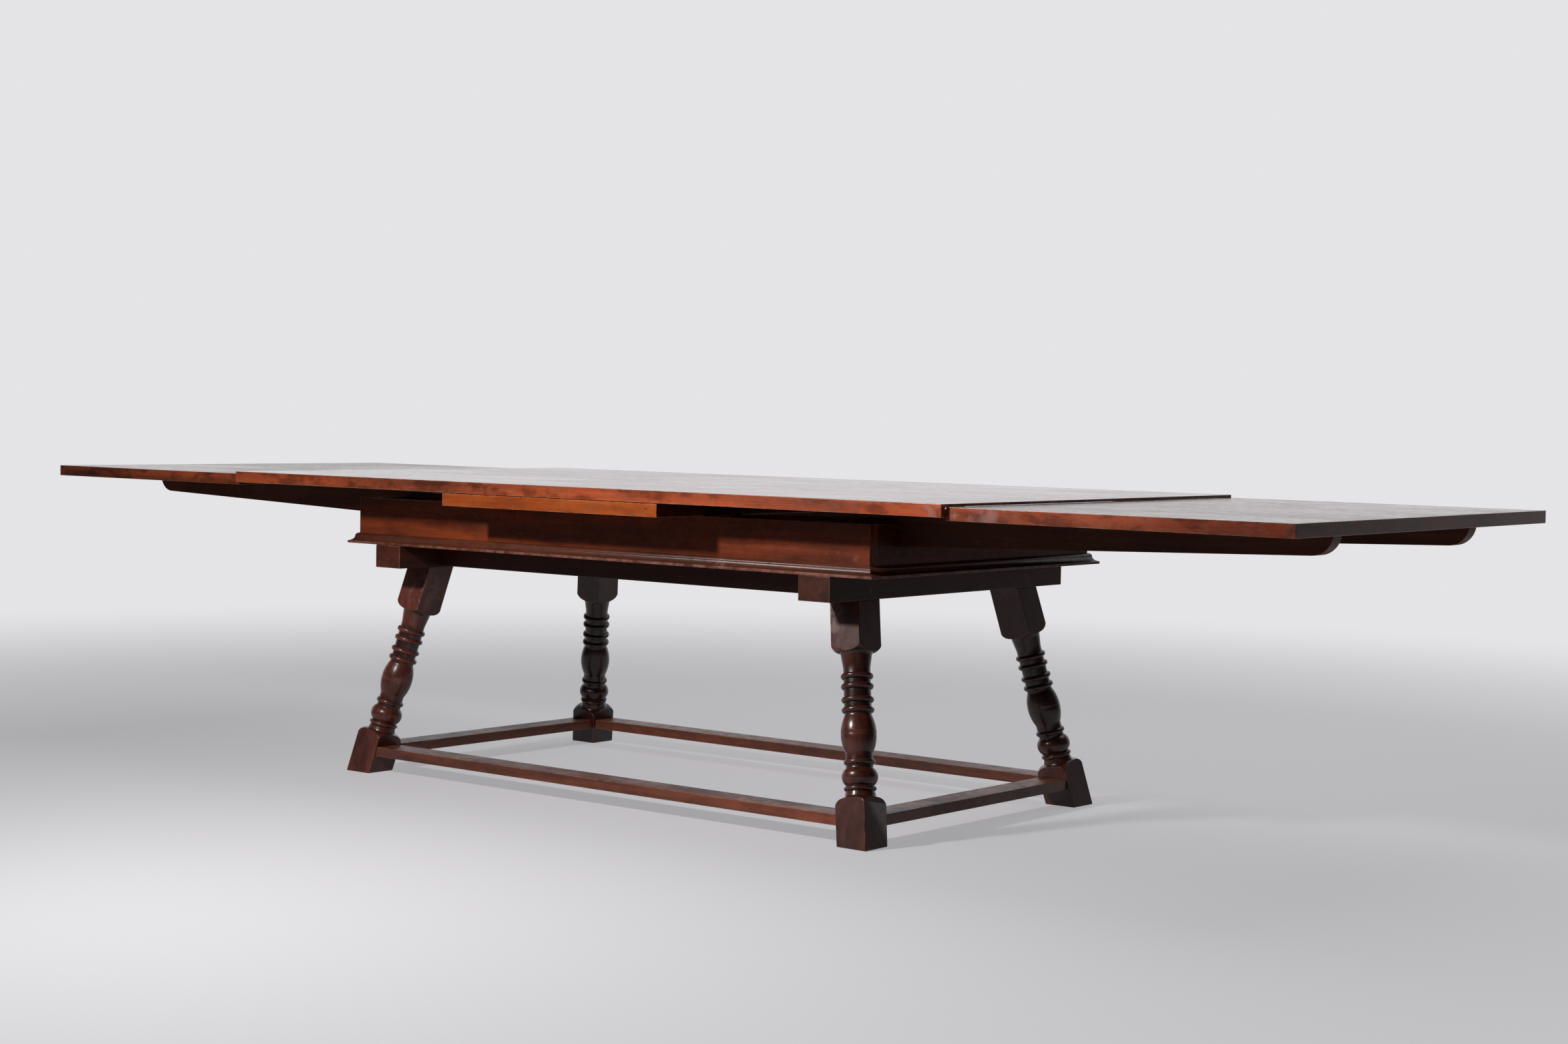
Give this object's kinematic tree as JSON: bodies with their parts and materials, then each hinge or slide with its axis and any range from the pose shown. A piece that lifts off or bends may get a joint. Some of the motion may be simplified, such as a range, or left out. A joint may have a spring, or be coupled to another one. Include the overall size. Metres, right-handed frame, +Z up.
{
  "type": "draw-leaf dining table",
  "caption": "Oak draw-leaf dining table on leaning turned legs joined by low flat stretchers, with a moulded frieze and both leaves drawn out from under the top.",
  "frame": {"origin": "on the floor under the middle of the table", "axes": "+X along the table towards the right leaf, +Y towards the back, +Z up"},
  "size_m": [3.8468, 1.208, 0.77],
  "materials": {
    "top_wood": "waxed and worn",
    "centre_wood": "waxed",
    "frame_wood": "dark wax polish",
    "inner_wood": "planed, unpolished",
    "peg_wood": "turned, unpolished"
  },
  "bodies": {
    "frame": {"back_frieze": "frame_wood", "back_left_leg": "frame_wood", "back_moulding": "frame_wood", "back_rail": "frame_wood", "back_right_leg": "frame_wood", "back_stretcher": "frame_wood", "bearer_dowels": "peg_wood", "board_dowels": "peg_wood", "centre_board": "centre_wood", "corner_blocks": "inner_wood", "frieze_dowels": "peg_wood", "front_frieze": "frame_wood", "front_left_leg": "frame_wood", "front_moulding": "frame_wood", "front_rail": "frame_wood", "front_right_leg": "frame_wood", "front_stretcher": "frame_wood", "left_bearer": "frame_wood", "left_frieze": "frame_wood", "left_inner_rail": "inner_wood", "left_moulding": "frame_wood", "left_stretcher": "frame_wood", "leg_pegs": "peg_wood", "right_bearer": "frame_wood", "right_frieze": "frame_wood", "right_inner_rail": "inner_wood", "right_moulding": "frame_wood", "right_stretcher": "frame_wood", "stretcher_pegs": "peg_wood"},
    "top": {"back_top_strip": "top_wood", "front_top_strip": "top_wood", "top_board_1": "top_wood", "top_board_2": "top_wood", "top_board_3": "top_wood", "top_board_4": "top_wood", "top_board_5": "top_wood", "top_pegs": "peg_wood"},
    "left_leaf": {"left_back_runner": "inner_wood", "left_front_runner": "inner_wood", "left_leaf_board_1": "top_wood", "left_leaf_board_2": "top_wood", "left_leaf_board_3": "top_wood", "left_leaf_board_4": "top_wood", "left_leaf_board_5": "top_wood", "left_leaf_lipping": "top_wood", "left_runner_dowels": "peg_wood", "left_stop_pegs": "peg_wood"},
    "right_leaf": {"right_back_runner": "inner_wood", "right_front_runner": "inner_wood", "right_leaf_board_1": "top_wood", "right_leaf_board_2": "top_wood", "right_leaf_board_3": "top_wood", "right_leaf_board_4": "top_wood", "right_leaf_board_5": "top_wood", "right_leaf_lipping": "top_wood", "right_runner_dowels": "peg_wood", "right_stop_pegs": "peg_wood"}
  },
  "joints": [
    {"name": "left_leaf_slide", "type": "slide", "parent": "frame", "child": "left_leaf", "axis": [-0.9995, 0, 0.0312], "range_m": [-0.78238, 0]},
    {"name": "right_leaf_slide", "type": "slide", "parent": "frame", "child": "right_leaf", "axis": [0.9995, 0, 0.0312], "range_m": [-0.78238, 0]},
    {"name": "top_lift", "type": "slide", "parent": "frame", "child": "top", "axis": [0, 0, 1], "range_m": [0, 0.03]}
  ]
}
